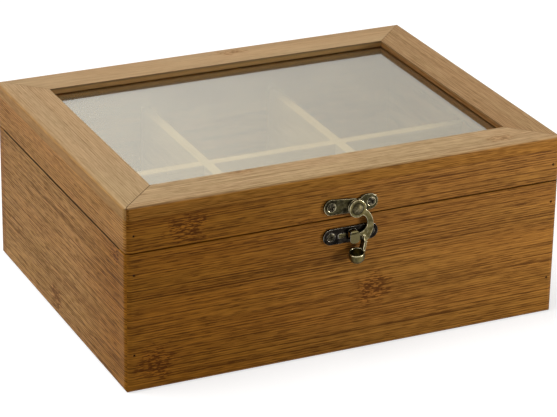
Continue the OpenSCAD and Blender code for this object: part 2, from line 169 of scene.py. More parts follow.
table_material = bpy.data.materials.new("white_table")
table_material.use_nodes = True
tree = table_material.node_tree
tree.nodes.clear()
path, clear, direct = seen_directly(tree)
seen = times(tree, path["Is Camera Ray"], TABLE_SEEN)
glow = maths(tree, "MULTIPLY_ADD", direct, TABLE_GLOW, seen)
paint = put(tree, "BsdfDiffuse", {"Color": TABLE_COLOUR})
light = put(tree, "Emission", {"Strength": glow})
both = put(tree, "AddShader", {0: paint.outputs[0], 1: light.outputs[0]})
put(tree, "OutputMaterial", {"Surface": both.outputs[0]})

table_mesh = bpy.data.meshes.new("table_top")
corners = np.array([(-1, -1, 0), (1, -1, 0), (1, 1, 0), (-1, 1, 0)]) * TABLE_HALF
table_mesh.from_pydata(corners.tolist(), [], [(0, 1, 2, 3)])
table_mesh.materials.append(table_material)
table_top = bpy.data.objects.new("table_top", table_mesh)
bpy.context.scene.collection.objects.link(table_top)


def hang_lamp(name, kind, towards, **settings):
    """Adds a lamp that shines along the given direction, with its own settings."""
    lamp = bpy.data.objects.new(name, bpy.data.lights.new(name, kind))
    for key, value in settings.items():
        setattr(lamp.data, key, value)
    lamp.rotation_mode = "QUATERNION"
    lamp.rotation_quaternion = Vector(towards).to_track_quat("-Z", "Y")
    bpy.context.scene.collection.objects.link(lamp)
    return lamp


key = hang_lamp("key_lamp", "SUN", -KEY_FROM, energy=KEY_LEVEL, angle=KEY_ANGLE)
key.visible_glossy = False
key.visible_transmission = False
fill = hang_lamp(
    "fill_lamp", "AREA", FILL_TOWARDS - FILL_AT, energy=FILL_POWER, shape="DISK", size=FILL_WIDTH)
fill.location = FILL_AT


# Body boards: four boards of carbonised bamboo, laminated from strips and glued and nailed at the corners.
# The grain runs along each board, and the lacquer is thin and satin, so that the fibres still show.
BAMBOO_PALE = (0.50, 0.215, 0.034, 1)
BAMBOO_DARK = (0.13, 0.044, 0.004, 1)
STRIP_W = 0.0215
STRIP_CONTRAST = 0.12
OCTAVE_SHARE = 0.6
SHIFT_SLANT = 1.7
SLICES_APART = 97.0


def new_group(name, ins, outs):
    """Starts a shader node group. Each of its inputs is given as (name, kind, default), and each of its
    outputs as (name, kind)."""
    group = bpy.data.node_groups.new(name, "ShaderNodeTree")
    for label, kind, default in ins:
        socket = group.interface.new_socket(label, in_out="INPUT", socket_type="NodeSocket" + kind)
        if default is not None:
            socket.default_value = default
    for label, kind in outs:
        group.interface.new_socket(label, in_out="OUTPUT", socket_type="NodeSocket" + kind)
    return group, group.nodes.new("NodeGroupInput").outputs, group.nodes.new("NodeGroupOutput")


def noise(tree, at, detail):
    """Noise with one cell per unit, to which each finer octave adds a fixed share of the one before."""
    inputs = {"Vector": at, "Scale": 1.0, "Detail": detail, "Roughness": OCTAVE_SHARE}
    return put(tree, "TexNoise", inputs).outputs[0]


def streaks(tree, vector, along, across, detail=2.0, shift=0.0):
    """Noise stretched along the first axis: so many cells per metre along the grain and across it. The shift
    takes it from another place of the same noise."""
    scaled = vector_maths(tree, "MULTIPLY", vector, (along, across, across))
    return noise(tree, vector_maths(tree, "ADD", scaled, (shift, shift * SHIFT_SLANT, 0)), detail)


def strands(tree, vector, along, across, shift):
    """Noise along many thin strands side by side: so many cells per metre along each, and so many strands per
    metre. Each strand takes its own slice of the noise, by a random number from its count, so that neighbours
    differ."""
    place = put(tree, "SeparateXYZ", {0: vector}).outputs
    count = maths(tree, "FLOOR", maths(tree, "MULTIPLY_ADD", place["Y"], across, shift))
    draw = put(tree, "TexWhiteNoise", {"W": count}, noise_dimensions="1D").outputs["Value"]
    at = put(tree, "CombineXYZ", {
        0: times(tree, place["X"], along),
        1: times(tree, draw, SLICES_APART),
        2: times(tree, place["Z"], across)})
    return noise(tree, at.outputs[0], 1.0)


# Joint of the cane: an uneven oval round the place where one crosses a strip. The mask fades with the
# distance from its centre, measured in reaches, and noise moves that edge in and out.
JOINT_NOISE = 260.0
JOINT_NOISE_RANGE = (0.2, 0.8)
JOINT_RAGGED = 0.3
JOINT_EDGE = (1.15, 0.25)
cane_joint, ins, out = new_group(
    "cane_joint",
    [("Vector", "Vector", None), ("Centre", "Vector", None), ("Reach", "Vector", (0.01, 0.008, 0.008))],
    [("Mask", "Float")])
g = cane_joint
offset = vector_maths(g, "SUBTRACT", ins["Vector"], ins["Centre"])
distance = vector_maths(g, "LENGTH", vector_maths(g, "DIVIDE", offset, ins["Reach"]))
ragged = put(g, "TexNoise", {"Vector": ins["Vector"], "Scale": JOINT_NOISE, "Detail": 3.0}).outputs[0]
edge = plus(g, distance, ramp(g, ragged, *JOINT_NOISE_RANGE, -JOINT_RAGGED, JOINT_RAGGED))
g.links.new(ramp(g, edge, *JOINT_EDGE), out.inputs["Mask"])

# Bamboo grain: each layer of noise makes the wood darker or paler, from broad bands over fibres, threads and
# long lines to specks, gleams and dashes, with short wavy strokes at a joint of the cane. Every strip has its
# own tone besides. The sum is the depth, which mixes pale and dark and sets the gloss and the relief.
NOISE_MEAN = 0.5
DRIFT_CELLS = (7.0, 20.0, 20.0)
DRIFT = (0.0, 0.0006, 0.0006)
WAVE_CELLS = 300.0
WAVE_SWING = 0.0009
PAIRS = 850.0
JOINT_DEPTH = 0.1
JOINT_TINT = (1.0, 0.87, 0.78, 1)
JOINT_TINT_SHARE = 0.6
WARM_TINT = (1.0, 0.94, 0.88, 1)
COOL_TINT = (0.95, 1.0, 0.97, 1)
TINT_SHARE = 0.5
GLOSS_RANGE = (0.4, 0.55)
bamboo_grain, ins, out = new_group(
    "bamboo_grain",
    [
        ("Vector", "Vector", None),
        ("Pale", "Color", BAMBOO_PALE),
        ("Dark", "Color", BAMBOO_DARK),
        ("Strip Width", "Float", STRIP_W),
        ("Strip Contrast", "Float", STRIP_CONTRAST),
        ("Joints", "Float", 0.0),
        ("Fibres", "Float", 1.0),
    ],
    [("Color", "Color"), ("Roughness", "Float"), ("Height", "Float")])
g = bamboo_grain
wander = put(g, "TexNoise", {"Vector": ins["Vector"], "Scale": WAVE_CELLS, "Detail": 2.0}).outputs["Color"]
centred = vector_maths(g, "SUBTRACT", wander, (NOISE_MEAN,) * 3)
swing = times(g, ins["Joints"], WAVE_SWING)
wave = put(g, "VectorMath", {0: centred, "Scale": swing}, operation="SCALE").outputs[0]
slow = vector_maths(g, "MULTIPLY", ins["Vector"], DRIFT_CELLS)
drift = put(g, "TexNoise", {"Vector": slow, "Scale": 1.0, "Detail": 1.0}).outputs["Color"]
flow = vector_maths(g, "ADD", ins["Vector"], wave)
flow = vector_maths(g, "ADD", flow, vector_maths(g, "MULTIPLY", drift, DRIFT))

bands = streaks(g, flow, along=4.0, across=130.0, detail=0.0)
fibres = streaks(g, flow, along=9.0, across=1300.0, detail=1.0, shift=3.1)
threads = strands(g, flow, along=18.0, across=1650.0, shift=12.4)
specks = streaks(g, flow, along=150.0, across=2200.0, detail=0.0, shift=17.1)
lines = strands(g, flow, along=6.0, across=2100.0, shift=21.3)
gleams = strands(g, flow, along=30.0, across=1900.0, shift=31.7)
dashes = strands(g, flow, along=90.0, across=2000.0, shift=7.7)
strokes = strands(g, flow, along=270.0, across=1900.0, shift=5.2)
patches = streaks(g, flow, along=9.0, across=60.0, detail=1.0, shift=41.9)

flow_across = put(g, "SeparateXYZ", {0: flow}).outputs["Y"]
pairs = maths(g, "FRACT", times(g, flow_across, PAIRS))
strip_no = maths(g, "FLOOR", maths(g, "DIVIDE", flow_across, ins["Strip Width"]))
tone = put(g, "TexWhiteNoise", {"W": strip_no}, noise_dimensions="1D").outputs["Value"]
tone = times(g, plus(g, tone, -NOISE_MEAN), ins["Strip Contrast"])

# Each ramp says which range of its noise counts, and what depth it adds: less than nothing is paler wood.
layers = [
    ramp(g, fibres, 0.36, 0.64, -0.05, 0.05),
    ramp(g, threads, 0.35, 0.65, -0.14, 0.14),
    times(g, ramp(g, fibres, 0.3, 0.6, 0.0, 0.42), ramp(g, pairs, 0.45, 0.55, -0.5, 0.5)),
    ramp(g, specks, 0.35, 0.65, -0.15, 0.15),
    ramp(g, lines, 0.58, 0.68, 0.0, 0.34),
    ramp(g, gleams, 0.6, 0.68, 0.0, -0.25),
    ramp(g, dashes, 0.58, 0.66, 0.0, 0.3),
]
fine = layers[0]
for layer in layers[1:]:
    fine = plus(g, fine, layer)
depth = plus(g, ramp(g, bands, 0.28, 0.72, 0.41, 0.49), times(g, fine, ins["Fibres"]))
depth = plus(g, depth, tone)
depth = plus(g, depth, times(g, ramp(g, strokes, 0.4, 0.6, -0.35, 0.65), ins["Joints"]))
depth = plus(g, depth, times(g, ins["Joints"], JOINT_DEPTH))
depth = put(g, "Clamp", {0: depth}).outputs[0]
wood = blend_colour(g, depth, ins["Pale"], ins["Dark"])
wood = blend_colour(g, ramp(g, patches, 0.45, 0.65, 0.0, TINT_SHARE), wood, WARM_TINT, "MULTIPLY")
wood = blend_colour(g, ramp(g, patches, 0.5, 0.35, 0.0, TINT_SHARE), wood, COOL_TINT, "MULTIPLY")
wood = blend_colour(g, times(g, ins["Joints"], JOINT_TINT_SHARE), wood, JOINT_TINT, "MULTIPLY")
g.links.new(wood, out.inputs["Color"])
g.links.new(ramp(g, depth, 0.0, 1.0, *GLOSS_RANGE), out.inputs["Roughness"])
g.links.new(times(g, depth, -1.0), out.inputs["Height"])

# Face mask: 1 on the faces that look along an axis and 0 on the others, from the product of normal and axis.
FACE_EDGE = (0.7, 0.72)
face_direction, ins, out = new_group(
    "face_direction", [("Normal", "Vector", None), ("Axis", "Vector", None)], [("Mask", "Float")])
g = face_direction
looking = maths(g, "ABSOLUTE", vector_maths(g, "DOT_PRODUCT", ins["Normal"], ins["Axis"]))
g.links.new(ramp(g, looking, *FACE_EDGE), out.inputs["Mask"])

ALONG_X = Vector((1, 0, 0))
ALONG_Y = Vector((0, 1, 0))
UPRIGHT = Vector((0, 0, 1))
MOVE_BY = Vector((1, 0.31, 0.17))
FIBRE_DEPTH = 0.0003


def squeeze(through, thin):
    """Scale of the pattern on each axis: thin along the way through the board, and 1 along the other two."""
    return Vector([1 - (1 - thin) * abs(part) for part in through])


def lay(tree, here, along, stacked, place, thin):
    """Turns the place on the box so that x runs along the grain and y across the strips, moves it by place
    so that no two boards match, and scales it through the board by thin."""
    through = along.cross(stacked)
    return put(tree, "Mapping", {
        "Vector": here, "Location": MOVE_BY * place, "Rotation": Matrix((along, stacked, through)).to_euler(),
        "Scale": squeeze(through, thin)}).outputs[0]


def place_group(tree, group, **inputs):
    """Places a shader node group in a material, with the sockets or values that its inputs take."""
    node = tree.nodes.new("ShaderNodeGroup")
    node.node_tree = group
    for name, value in inputs.items():
        socket = node.inputs[name.replace("_", " ").title()]
        if isinstance(value, bpy.types.NodeSocket):
            tree.links.new(value, socket)
        else:
            socket.default_value = value
    return node


def bamboo(name, along, stacked, joints=(), level=0.1, bump=0.2, place=0.0, painted_light_and_joints=(),
           thin=0.12, wrap=None, **look):
    """Bamboo with its grain along one axis and its strips stacked along another. Each joint of the cane is
    (centre, reach along the grain, reach across it), in metres on the box. Each entry of the list of places is
    (group, mask, pale, dark): where that mask of the group is 1, the wood has these shades, which paint light,
    sheen or shade there, or a dark joint line.
    thin scales the pattern through the board, and wrap is the (along, stacked, place) of the board round the
    corner, whose grain the sawn ends carry on."""
    material = bpy.data.materials.new(name)
    material.use_nodes = True
    tree = material.node_tree
    shader = tree.nodes["Principled BSDF"]
    through = along.cross(stacked)
    turn = Matrix((along, stacked, through))
    faces = put(tree, "TexCoord").outputs
    here = faces["Object"]
    grain = lay(tree, here, along, stacked, place, thin)
    others = [(stacked, lay(tree, here, along, stacked, place, 1.0))] if thin < 1 else []
    if wrap is not None:
        others.append((along, lay(tree, here, *wrap, thin)))
    for axis, other in others:
        share = place_group(tree, face_direction, normal=faces["Normal"], axis=axis).outputs["Mask"]
        grain = put(tree, "Mix", {0: share, 4: grain, 5: other}, data_type="VECTOR").outputs[1]
    mask = None
    for centre, reach_along, reach_across in joints:
        centre = turn @ (squeeze(through, thin) * Vector(centre)) + MOVE_BY * place
        reach = (reach_along, reach_across, reach_across)
        spot = place_group(tree, cane_joint, vector=grain, centre=centre, reach=reach).outputs["Mask"]
        mask = spot if mask is None else maths(tree, "MAXIMUM", mask, spot)
    fibre = place_group(tree, bamboo_grain, vector=grain, **look)
    if mask is not None:
        tree.links.new(mask, fibre.inputs["Joints"])
    for group, label, *shades in painted_light_and_joints:
        share = place_group(tree, group, vector=here).outputs[label]
        for socket, shade in zip((fibre.inputs["Pale"], fibre.inputs["Dark"]), shades):
            under = socket.links[0].from_socket if socket.is_linked else tuple(socket.default_value)
            tree.links.new(blend_colour(tree, share, under, shade), socket)
    relief = put(tree, "Bump", {"Strength": bump, "Distance": FIBRE_DEPTH, "Height": fibre.outputs["Height"]})
    tree.links.new(fibre.outputs["Color"], shader.inputs["Base Color"])
    tree.links.new(fibre.outputs["Roughness"], shader.inputs["Roughness"])
    tree.links.new(relief.outputs[0], shader.inputs["Normal"])
    shader.inputs["Specular IOR Level"].default_value = level
    return material


def finish_node(name, material):
    """Gives a node of the frame its material."""
    mesh = nodes[name].data
    mesh.materials.clear()
    mesh.materials.append(material)


# Places on the boards: the front end of a side board and the left half of the front, where painted shade makes
# the wood browner; the left end of a long board, which shows on the left side; and the arris of a side board
# along the lid's seam, which painted shade darkens, by the distance from the seam's height and from the outer
# face.
front_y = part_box("front_board")[0].y
back_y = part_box("back_board")[1].y
left_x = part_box("left_board")[0].x
right_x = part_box("right_board")[1].x
seam_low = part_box("left_board")[1].z
seam_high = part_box("lid_left_rail")[0].z
seam_middle = (seam_low + seam_high) / 2
seam_half = (seam_high - seam_low) / 2
NEAR_END_EDGE = (-0.01, front_y)
LEFT_HALF_EDGE = (0.03, left_x + 0.03)
LEFT_END_EDGE = (left_x + 0.0012, left_x + 0.0003)
SEAM_SHADE_HEIGHT_EDGE = (seam_half + 0.0004, seam_half)
SEAM_SHADE_DEPTH_EDGE = (right_x - 0.0012, right_x - 0.0007)
board_places, ins, out = new_group(
    "board_places", [("Vector", "Vector", None)],
    [("Near End", "Float"), ("Left Half", "Float"), ("Left End", "Float"), ("Seam Arris", "Float")])
g = board_places
place = put(g, "SeparateXYZ", {0: ins["Vector"]}).outputs
g.links.new(ramp(g, place["Y"], *NEAR_END_EDGE), out.inputs["Near End"])
g.links.new(ramp(g, place["X"], *LEFT_HALF_EDGE), out.inputs["Left Half"])
g.links.new(ramp(g, place["X"], *LEFT_END_EDGE), out.inputs["Left End"])
at_seam = ramp(g, maths(g, "ABSOLUTE", plus(g, place["Z"], -seam_middle)), *SEAM_SHADE_HEIGHT_EDGE)
at_face = ramp(g, maths(g, "ABSOLUTE", place["X"]), *SEAM_SHADE_DEPTH_EDGE)
g.links.new(times(g, at_seam, at_face), out.inputs["Seam Arris"])

# Painted shade: the near end of the left side and the left half of the front take darker, browner copies of
# the bamboo, standing in for a weaker sheen there.
NEAR_PAINTED_SHADE = ((0.46, 0.178, 0.009, 1), (0.13, 0.046, 0.002, 1))
LEFT_HALF_PAINTED_SHADE = ((0.49, 0.195, 0.017, 1), (0.12, 0.038, 0.001, 1))
# Painted sheen: the left side board takes a paler, greyer copy of the bamboo.
LEFT_PAINTED_SHEEN = ((0.57, 0.285, 0.07, 1), (0.18, 0.074, 0.013, 1))
# Painted shade: the next pair darkens the arris along the lid's seam, standing in for the shade in the joint.
SEAM_PAINTED_SHADE = ((0.07, 0.03, 0.008, 1), (0.035, 0.014, 0.003, 1))
SIDE_PLACE = 1.3
BACK_PLACE = 0.7
ROUND_SIDE = (ALONG_Y, UPRIGHT, SIDE_PLACE)
front_joints = [((0.012, front_y, 0.031), 0.011, 0.0105), ((-0.096, front_y, 0.0125), 0.0105, 0.0105)]
back_joints = [((0.05, back_y, 0.05), 0.011, 0.01)]
left_joints = [((left_x, 0.0056, 0.0093), 0.009, 0.008), ((left_x, -0.074, 0.064), 0.009, 0.006)]
right_joints = [((right_x, 0.03, 0.03), 0.01, 0.01)]

finish_node("front_board", bamboo(
    "bamboo_front", ALONG_X, UPRIGHT, front_joints, wrap=ROUND_SIDE,
    painted_light_and_joints=[(board_places, "Left Half", *LEFT_HALF_PAINTED_SHADE), (board_places, "Left End", *NEAR_PAINTED_SHADE)]))
finish_node("back_board", bamboo(
    "bamboo_back", ALONG_X, UPRIGHT, back_joints, place=BACK_PLACE, wrap=ROUND_SIDE))
finish_node("left_board", bamboo(
    "bamboo_left", ALONG_Y, UPRIGHT, left_joints, place=SIDE_PLACE, fibres=1.3, level=0.08,
    pale=LEFT_PAINTED_SHEEN[0], dark=LEFT_PAINTED_SHEEN[1],
    painted_light_and_joints=[(board_places, "Near End", *NEAR_PAINTED_SHADE), (board_places, "Seam Arris", *SEAM_PAINTED_SHADE)]))
finish_node("right_board", bamboo(
    "bamboo_right", ALONG_Y, UPRIGHT, right_joints, place=SIDE_PLACE,
    painted_light_and_joints=[(board_places, "Seam Arris", *SEAM_PAINTED_SHADE)]))


# Base panel: a thin bamboo panel with its strips side by side, sanded and left without lacquer.
# It is let into a rebate in the boards from below and glued, flush with their lower edges.
BASE_PALE = (0.50, 0.30, 0.12, 1)
BASE_DARK = (0.30, 0.15, 0.05, 1)
finish_node("base_panel", bamboo("bamboo_base", ALONG_X, ALONG_Y, place=3.3, pale=BASE_PALE, dark=BASE_DARK))


# Dividers: one long divider and two cross dividers of pale, sanded bamboo.
# They are halved over each other and stand in grooves of the boards.
DIVIDER_PALE = (0.82, 0.72, 0.54, 1)
DIVIDER_DARK = (0.62, 0.51, 0.34, 1)
for name, along, place in (("long_divider", ALONG_X, 4.0), ("left_cross_divider", ALONG_Y, 5.0),
                           ("right_cross_divider", ALONG_Y, 6.0)):
    finish_node(name, bamboo(
        "pale_" + name, along, UPRIGHT, place=place, pale=DIVIDER_PALE, dark=DIVIDER_DARK))


# Nails: thin headless steel nails, driven through the long boards into the side boards' ends and set a little
# below the surface, so that a small dark hole shows at each. All the metals here share one plating: patches of
# patina and fine grit, and rubbed places as far as each is worn.
RUBBED_METAL = (0.85, 0.74, 0.5, 1)
PATCH_CELLS = 300.0
PATCH_EDGE = (0.36, 0.62)
GLOSS_EDGE = (0.3, 0.7)
RUB_CELLS = 700.0
RUB_EDGE = (0.5, 0.75)
GRIT_CELLS = 2600.0
aged_plating, ins, out = new_group(
    "aged_plating",
    [
        ("Vector", "Vector", None), ("Metal", "Color", None), ("Patina", "Color", None),
        ("Bright", "Color", RUBBED_METAL), ("Wear", "Float", 0.2), ("Smooth", "Float", 0.3),
        ("Rough", "Float", 0.5),
    ],
    [("Color", "Color"), ("Roughness", "Float"), ("Height", "Float")])
g = aged_plating
cloudy = {"Vector": ins["Vector"], "Scale": PATCH_CELLS, "Detail": 3.0, "Roughness": 0.55}
patches = put(g, "TexNoise", cloudy).outputs[0]
specks = put(g, "TexNoise", {"Vector": ins["Vector"], "Scale": GRIT_CELLS, "Detail": 2.0}).outputs[0]
rubbed = put(g, "TexNoise", {"Vector": ins["Vector"], "Scale": RUB_CELLS, "Detail": 2.0}).outputs[0]
aged = blend_colour(g, ramp(g, patches, *PATCH_EDGE), ins["Metal"], ins["Patina"])
bare = times(g, ramp(g, rubbed, *RUB_EDGE), ins["Wear"])
g.links.new(blend_colour(g, bare, aged, ins["Bright"]), out.inputs["Color"])
span = maths(g, "SUBTRACT", ins["Rough"], ins["Smooth"])
g.links.new(plus(g, ins["Smooth"], times(g, ramp(g, patches, *GLOSS_EDGE), span)), out.inputs["Roughness"])
g.links.new(plus(g, times(g, specks, 0.5), times(g, patches, 0.5)), out.inputs["Height"])

GRIT = 0.15
GRIT_DEPTH = 0.0002
PROUD_FADE = 0.0002
RIVET_RING_DARK = (0.012, 0.01, 0.006, 1)
RING_SHARE = 0.85


def metal(name, colour, patina, wear, rough=(0.28, 0.5), proud=None, ring=None):
    """Plated metal with patches of patina, fine grit and rubbed places, all from noise on the object's place.
    rough is the roughness of its smoothest and its roughest places. proud is (y, colour): whatever stands out
    in front of that y has lost its plating and shows this colour. ring is (centre, inner reach, outer reach):
    the metal is darker there, in a ring round a rivet, by the distance in the front plane."""
    material = bpy.data.materials.new(name)
    material.use_nodes = True
    tree = material.node_tree
    shader = tree.nodes["Principled BSDF"]
    here = put(tree, "TexCoord").outputs["Object"]
    plating = place_group(tree, aged_plating, vector=here, metal=colour, patina=patina, wear=wear,
                          smooth=rough[0], rough=rough[1])
    if proud is not None:
        limit, rubbed_colour = proud
        outward = put(tree, "SeparateXYZ", {0: here}).outputs["Y"]
        mask = ramp(tree, outward, limit + PROUD_FADE, limit - PROUD_FADE)
        tree.links.new(blend_colour(tree, mask, colour, rubbed_colour), plating.inputs["Metal"])
        tree.links.new(blend_colour(tree, mask, patina, rubbed_colour), plating.inputs["Patina"])
    surface = plating.outputs["Color"]
    if ring is not None:
        centre, inner, outer = ring
        from_centre = vector_maths(tree, "SUBTRACT", here, centre)
        reach = vector_maths(tree, "LENGTH", vector_maths(tree, "MULTIPLY", from_centre, (1, 0, 1)))
        surface = blend_colour(tree, ramp(tree, reach, outer, inner, 0.0, RING_SHARE), surface, RIVET_RING_DARK)
    grit = plating.outputs["Height"]
    relief = put(tree, "Bump", {"Strength": GRIT, "Distance": GRIT_DEPTH, "Height": grit})
    tree.links.new(surface, shader.inputs["Base Color"])
    tree.links.new(plating.outputs["Roughness"], shader.inputs["Roughness"])
    tree.links.new(relief.outputs[0], shader.inputs["Normal"])
    shader.inputs["Metallic"].default_value = 1.0
    return material


nail_metal = metal(
    "dull_steel", colour=(0.07, 0.045, 0.03, 1), patina=(0.03, 0.02, 0.015, 1), wear=0.0, rough=(0.5, 0.7))
finish_node("body_nails", nail_metal)


# Catch: a dark plated strip of sheet metal with a pressed rib and a bent tongue that holds the hook. Two
# small cross-head screws hold it on the body. The plating has worn off its rims, its rib and its tongue.
CATCH_STANDS = 0.0012
PROUD_BY = 0.0003
PROUD_BRONZE = (0.13, 0.11, 0.05, 1)
CATCH_RIM = 0.00025
dark_metal = metal(
    "dark_plating", colour=(0.016, 0.0125, 0.01, 1), patina=(0.006, 0.005, 0.004, 1), wear=0.02,
    rough=(0.18, 0.3), proud=(front_y - CATCH_STANDS - PROUD_BY, PROUD_BRONZE))
worn_dark = metal(
    "dark_rims", colour=(0.75, 0.7, 0.58, 1), patina=(0.12, 0.11, 0.09, 1), wear=0.4, rough=(0.12, 0.25))
screw_metal = metal(
    "screw_plating", colour=(0.048, 0.04, 0.024, 1), patina=(0.011, 0.009, 0.007, 1), wear=0.2,
    rough=(0.25, 0.4))


def ease(name, body, metals, width, clamped=True):
    """Stands for a node of sheet metal: its own mesh, merged and with flat parts joined, then every edge
    rounded by the given width, so that the rims catch the light. The rims take the second of the metals."""
    mesh = bpy.data.meshes.new("eased_" + name)
    shell = bmesh.new()
    shell.from_mesh(nodes[name].data)
    bmesh.ops.remove_doubles(shell, verts=shell.verts, dist=1e-6)
    bmesh.ops.dissolve_limit(shell, angle_limit=0.01, verts=shell.verts, edges=shell.edges)
    shell.to_mesh(mesh)
    shell.free()
    mesh.polygons.foreach_set("use_smooth", np.ones(len(mesh.polygons), bool))
    mesh.set_sharp_from_angle(angle=0.5)
    for metal_kind in metals:
        mesh.materials.append(metal_kind)
    piece = bpy.data.objects.new("eased_" + name, mesh)
    bpy.context.scene.collection.objects.link(piece)
    rims = piece.modifiers.new("rims", "BEVEL")
    rims.width = width
    rims.segments = 3
    rims.limit_method = "ANGLE"
    rims.angle_limit = 0.6
    rims.material = 1
    rims.harden_normals = True
    rims.use_clamp_overlap = clamped
    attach(piece, body)
    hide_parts(name)
    return piece


ease("catch_plate", "box", (dark_metal, worn_dark), CATCH_RIM)
finish_node("catch_screws", screw_metal)


# Hinges: two butt hinges of plated sheet outside the back, each with five knuckles rolled round a pin.
# Two cross-head screws hold each leaf, one leaf on the body and one on the lid.
HINGE_RIM = 0.00015
hinge_metal = metal("hinge_plating", colour=(0.15, 0.13, 0.07, 1), patina=(0.07, 0.06, 0.03, 1), wear=0.15)
worn_bronze = metal(
    "bronze_rims", colour=(0.85, 0.76, 0.5, 1), patina=(0.3, 0.26, 0.15, 1), wear=0.4, rough=(0.12, 0.28))
for name, body in (("left_hinge_body_leaf", "box"), ("right_hinge_body_leaf", "box"),
                   ("left_hinge_lid_leaf", "lid"), ("right_hinge_lid_leaf", "lid")):
    ease(name, body, (hinge_metal, worn_bronze), HINGE_RIM)
for name in ("left_hinge_pin", "right_hinge_pin", "hinge_body_screws", "hinge_lid_screws"):
    finish_node(name, screw_metal)


# Lid rails: four low rails of the same bamboo as the body, glued and nailed at the corners like it.
# They were sawn off the body's boards, so the grain and its joints run on over the seam.
# Painted sheen: the side rails and the left ends of the long rails take a paler, greyer copy of the bamboo.
LID_SIDE_PAINTED_SHEEN = ((0.62, 0.285, 0.06, 1), (0.19, 0.075, 0.012, 1))
lid_joints = [((-0.080, front_y, 0.0767), 0.0125, 0.008), ((-0.023, front_y, 0.066), 0.008, 0.006)]
finish_node("lid_front_rail", bamboo(
    "bamboo_lid_front", ALONG_X, UPRIGHT, lid_joints, wrap=ROUND_SIDE,
    painted_light_and_joints=[(board_places, "Left Half", *LEFT_HALF_PAINTED_SHADE), (board_places, "Left End", *LID_SIDE_PAINTED_SHEEN)]))
finish_node("lid_back_rail", bamboo(
    "bamboo_lid_back", ALONG_X, UPRIGHT, place=BACK_PLACE, wrap=ROUND_SIDE,
    painted_light_and_joints=[(board_places, "Left End", *LID_SIDE_PAINTED_SHEEN)]))
for name in ("lid_left_rail", "lid_right_rail"):
    finish_node(name, bamboo(
        "bamboo_" + name, ALONG_Y, UPRIGHT, place=SIDE_PLACE, pale=LID_SIDE_PAINTED_SHEEN[0], dark=LID_SIDE_PAINTED_SHEEN[1],
        painted_light_and_joints=[(board_places, "Seam Arris", *SEAM_PAINTED_SHADE)]))
finish_node("lid_nails", nail_metal)


# Top frame: four flat members of narrow bamboo strips in mixed shades, mitred at the corners and glued on the
# rails. Their upper face is paler than their outer side, as a painted sheen. The sides towards the window are
# warmer and brighter, as painted light, except on the right member, where painted shade makes them darker.
SIDE_SHADES = (BAMBOO_PALE, BAMBOO_DARK)
# Painted sheen: the left member's outer side takes a paler, greyer copy of the bamboo.
LEFT_FRAME_SIDE_PAINTED_SHEEN = ((0.60, 0.33, 0.11, 1), (0.25, 0.11, 0.03, 1))
# Painted sheen: the upper face takes a paler, greyer copy of the bamboo, less pale on the right member.
UPPER_PAINTED_SHEEN = ((0.53, 0.35, 0.18, 1), (0.27, 0.165, 0.075, 1))
RIGHT_UPPER_PAINTED_SHEEN = ((0.41, 0.245, 0.11, 1), (0.22, 0.12, 0.047, 1))
# Painted light: the sides towards the window take a brighter, warmer copy of the bamboo; on the right member,
# painted shade takes a darker one.
INNER_PAINTED_LIGHT = ((0.95, 0.58, 0.24, 1), (0.60, 0.32, 0.10, 1))
RIGHT_INNER_PAINTED_SHADE = ((0.42, 0.20, 0.06, 1), (0.16, 0.065, 0.015, 1))
LINE_SHADES = ((0.20, 0.11, 0.045, 1), (0.08, 0.04, 0.015, 1))
FRAME_STRIP_W = 0.0062
FRAME_PLACE = 5.0
FRAME_STEP = 1.37
box_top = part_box("top_frame_front")[1].z

# Places on the frame: the faces towards the window, by how far they lie inside the outline of the box; the
# upper face, by its height; and the fine dark line of a mitre, where |x| less |y| is half the box's width
# less half its depth. Only the mitre at the front left has opened: by x + y, the line is weaker elsewhere.
OUTER_EDGE = 0.012
EDGE_FADE = 0.001
UPPER_FROM = 0.0014
UPPER_FULL = 0.0003
LINE_HALF = (0.00045, 0.0001)
OPENED_EDGE = (-0.05, -0.13)
OPENED_SHARE = (0.2, 1.0)
frame_places, ins, out = new_group(
    "frame_places", [("Vector", "Vector", None)],
    [("Inner Side", "Float"), ("Upper Face", "Float"), ("Glue Line", "Float")])
g = frame_places
place = put(g, "SeparateXYZ", {0: ins["Vector"]}).outputs
aside = maths(g, "ABSOLUTE", place["X"])
away = maths(g, "ABSOLUTE", place["Y"])
inside_x = ramp(g, aside, right_x - OUTER_EDGE + EDGE_FADE, right_x - OUTER_EDGE)
inside_y = ramp(g, away, back_y - OUTER_EDGE + EDGE_FADE, back_y - OUTER_EDGE)
g.links.new(times(g, inside_x, inside_y), out.inputs["Inner Side"])
upper = ramp(g, place["Z"], box_top - UPPER_FROM, box_top - UPPER_FULL)
g.links.new(upper, out.inputs["Upper Face"])
off = plus(g, plus(g, aside, back_y - right_x), times(g, away, -1.0))
line = ramp(g, maths(g, "ABSOLUTE", off), *LINE_HALF)
opened = ramp(g, plus(g, place["X"], place["Y"]), *OPENED_EDGE, *OPENED_SHARE)
g.links.new(times(g, times(g, line, opened), upper), out.inputs["Glue Line"])

